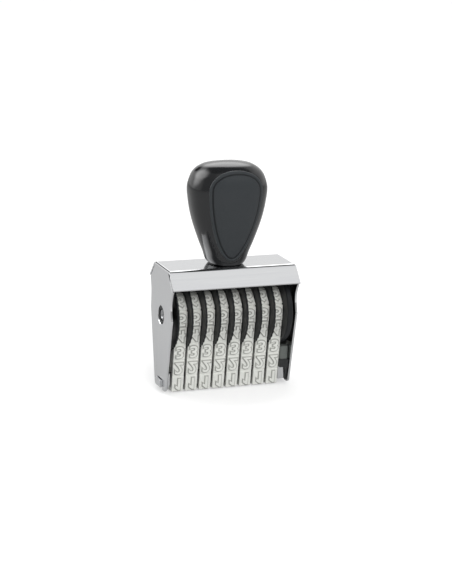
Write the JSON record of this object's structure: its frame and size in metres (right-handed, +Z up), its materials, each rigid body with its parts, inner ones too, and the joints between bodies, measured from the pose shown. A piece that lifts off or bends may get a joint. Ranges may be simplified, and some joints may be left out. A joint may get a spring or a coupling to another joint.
{
  "type": "numbering stamp",
  "caption": "Hand stamp whose rubber number bands are set by serrated thumb wheels in a folded chromed frame under a moulded handle.",
  "frame": {"origin": "on the printing plane, under the middle of the bands", "axes": "+Z up from the print to the handle, +X along the axle to the right, front facing -Y"},
  "size_m": [0.0654, 0.0354, 0.1088],
  "materials": {
    "chromed_steel": "polished chrome plate on folded sheet steel",
    "axle_steel": "ground steel",
    "wheel_plastic": "black moulded nylon, satin",
    "band_rubber": "light grey moulded rubber, matt",
    "handle_gloss": "black moulded plastic, glossy",
    "inlay_matt": "dark grey moulded plastic, fine matt grain",
    "insert_brass": "turned brass"
  },
  "bodies": {
    "stamp_body": {"frame": "chromed_steel", "bridge": "chromed_steel", "end_guide": "wheel_plastic", "axle": "axle_steel", "left_bush": "wheel_plastic", "right_bush": "wheel_plastic", "guard_disc": "wheel_plastic", "number_band_1": "band_rubber", "number_band_2": "band_rubber", "number_band_3": "band_rubber", "number_band_4": "band_rubber", "number_band_5": "band_rubber", "number_band_6": "band_rubber", "number_band_7": "band_rubber", "number_band_8": "band_rubber", "handle_body": "handle_gloss", "handle_front_inlay": "inlay_matt", "handle_rear_inlay": "inlay_matt", "handle_screw": "axle_steel", "handle_washer": "axle_steel", "handle_insert": "insert_brass"},
    "wheel_1": {"number_wheel_1": "wheel_plastic"},
    "wheel_2": {"number_wheel_2": "wheel_plastic"},
    "wheel_3": {"number_wheel_3": "wheel_plastic"},
    "wheel_4": {"number_wheel_4": "wheel_plastic"},
    "wheel_5": {"number_wheel_5": "wheel_plastic"},
    "wheel_6": {"number_wheel_6": "wheel_plastic"},
    "wheel_7": {"number_wheel_7": "wheel_plastic"},
    "wheel_8": {"number_wheel_8": "wheel_plastic"}
  },
  "joints": [
    {"name": "wheel_1_turn", "type": "hinge", "parent": "stamp_body", "child": "wheel_1", "pos_m": [-0.0281, 0, 0.037], "axis": [1, 0, 0], "continuous": true},
    {"name": "wheel_2_turn", "type": "hinge", "parent": "stamp_body", "child": "wheel_2", "pos_m": [-0.0213, 0, 0.037], "axis": [1, 0, 0], "continuous": true},
    {"name": "wheel_3_turn", "type": "hinge", "parent": "stamp_body", "child": "wheel_3", "pos_m": [-0.0145, 0, 0.037], "axis": [1, 0, 0], "continuous": true},
    {"name": "wheel_4_turn", "type": "hinge", "parent": "stamp_body", "child": "wheel_4", "pos_m": [-0.0077, 0, 0.037], "axis": [1, 0, 0], "continuous": true},
    {"name": "wheel_5_turn", "type": "hinge", "parent": "stamp_body", "child": "wheel_5", "pos_m": [-0.0009, 0, 0.037], "axis": [1, 0, 0], "continuous": true},
    {"name": "wheel_6_turn", "type": "hinge", "parent": "stamp_body", "child": "wheel_6", "pos_m": [0.0059, 0, 0.037], "axis": [1, 0, 0], "continuous": true},
    {"name": "wheel_7_turn", "type": "hinge", "parent": "stamp_body", "child": "wheel_7", "pos_m": [0.0127, 0, 0.037], "axis": [1, 0, 0], "continuous": true},
    {"name": "wheel_8_turn", "type": "hinge", "parent": "stamp_body", "child": "wheel_8", "pos_m": [0.0195, 0, 0.037], "axis": [1, 0, 0], "continuous": true}
  ]
}
